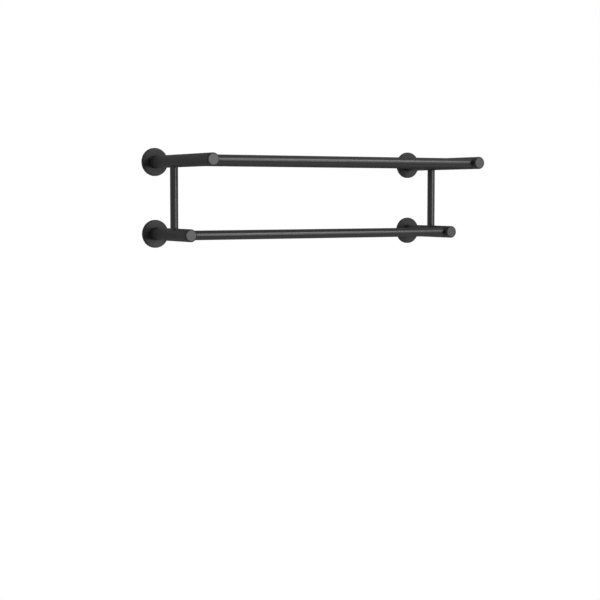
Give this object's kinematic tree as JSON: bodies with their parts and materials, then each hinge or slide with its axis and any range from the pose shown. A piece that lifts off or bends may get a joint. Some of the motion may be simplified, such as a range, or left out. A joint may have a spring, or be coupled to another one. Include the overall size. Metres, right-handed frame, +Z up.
{
  "type": "wall towel rack with rod shelf",
  "caption": "Matte black wall rack: a shelf of round rods between two long arms, above a single towel bar on two shorter arms, joined by posts near the wall and carried by round flanges.",
  "frame": {"origin": "on the wall plane, midway between the left and right arms and midway between the upper and lower arms", "axes": "+X to the right along the wall as seen from the room, +Y into the wall, +Z up; the rack stands out from the wall towards -Y"},
  "size_m": [0.677, 0.27, 0.203],
  "materials": {
    "arm_coat": "matte powder coat",
    "cap_coat": "matte powder coat",
    "bar_coat": "satin powder coat",
    "post_coat": "satin powder coat",
    "flange_coat": "matte powder coat",
    "bracket_zinc": "zinc plated",
    "screw_steel": "black oxide"
  },
  "bodies": {
    "root": {"upper_left_wall_bracket": "bracket_zinc", "upper_right_wall_bracket": "bracket_zinc", "lower_left_wall_bracket": "bracket_zinc", "lower_right_wall_bracket": "bracket_zinc", "upper_left_flange": "flange_coat", "upper_right_flange": "flange_coat", "lower_left_flange": "flange_coat", "lower_right_flange": "flange_coat", "upper_left_arm": "arm_coat", "upper_right_arm": "arm_coat", "lower_left_arm": "arm_coat", "lower_right_arm": "arm_coat", "upper_left_end_cap": "cap_coat", "upper_right_end_cap": "cap_coat", "lower_left_end_cap": "cap_coat", "lower_right_end_cap": "cap_coat", "shelf_front_bar": "bar_coat", "shelf_rod_1": "bar_coat", "shelf_rod_2": "bar_coat", "shelf_rod_3": "bar_coat", "shelf_rod_4": "bar_coat", "shelf_rod_5": "bar_coat", "towel_bar": "bar_coat", "left_post": "post_coat", "right_post": "post_coat", "upper_left_root_screw": "screw_steel", "upper_right_root_screw": "screw_steel", "lower_left_root_screw": "screw_steel", "lower_right_root_screw": "screw_steel", "left_post_upper_screw": "screw_steel", "left_post_lower_screw": "screw_steel", "right_post_upper_screw": "screw_steel", "right_post_lower_screw": "screw_steel", "shelf_front_bar_left_screw": "screw_steel", "shelf_front_bar_right_screw": "screw_steel", "shelf_rod_1_left_screw": "screw_steel", "shelf_rod_1_right_screw": "screw_steel", "shelf_rod_2_left_screw": "screw_steel", "shelf_rod_2_right_screw": "screw_steel", "shelf_rod_3_left_screw": "screw_steel", "shelf_rod_3_right_screw": "screw_steel", "shelf_rod_4_left_screw": "screw_steel", "shelf_rod_4_right_screw": "screw_steel", "shelf_rod_5_left_screw": "screw_steel", "shelf_rod_5_right_screw": "screw_steel", "towel_bar_left_screw": "screw_steel", "towel_bar_right_screw": "screw_steel"}
  },
  "joints": []
}
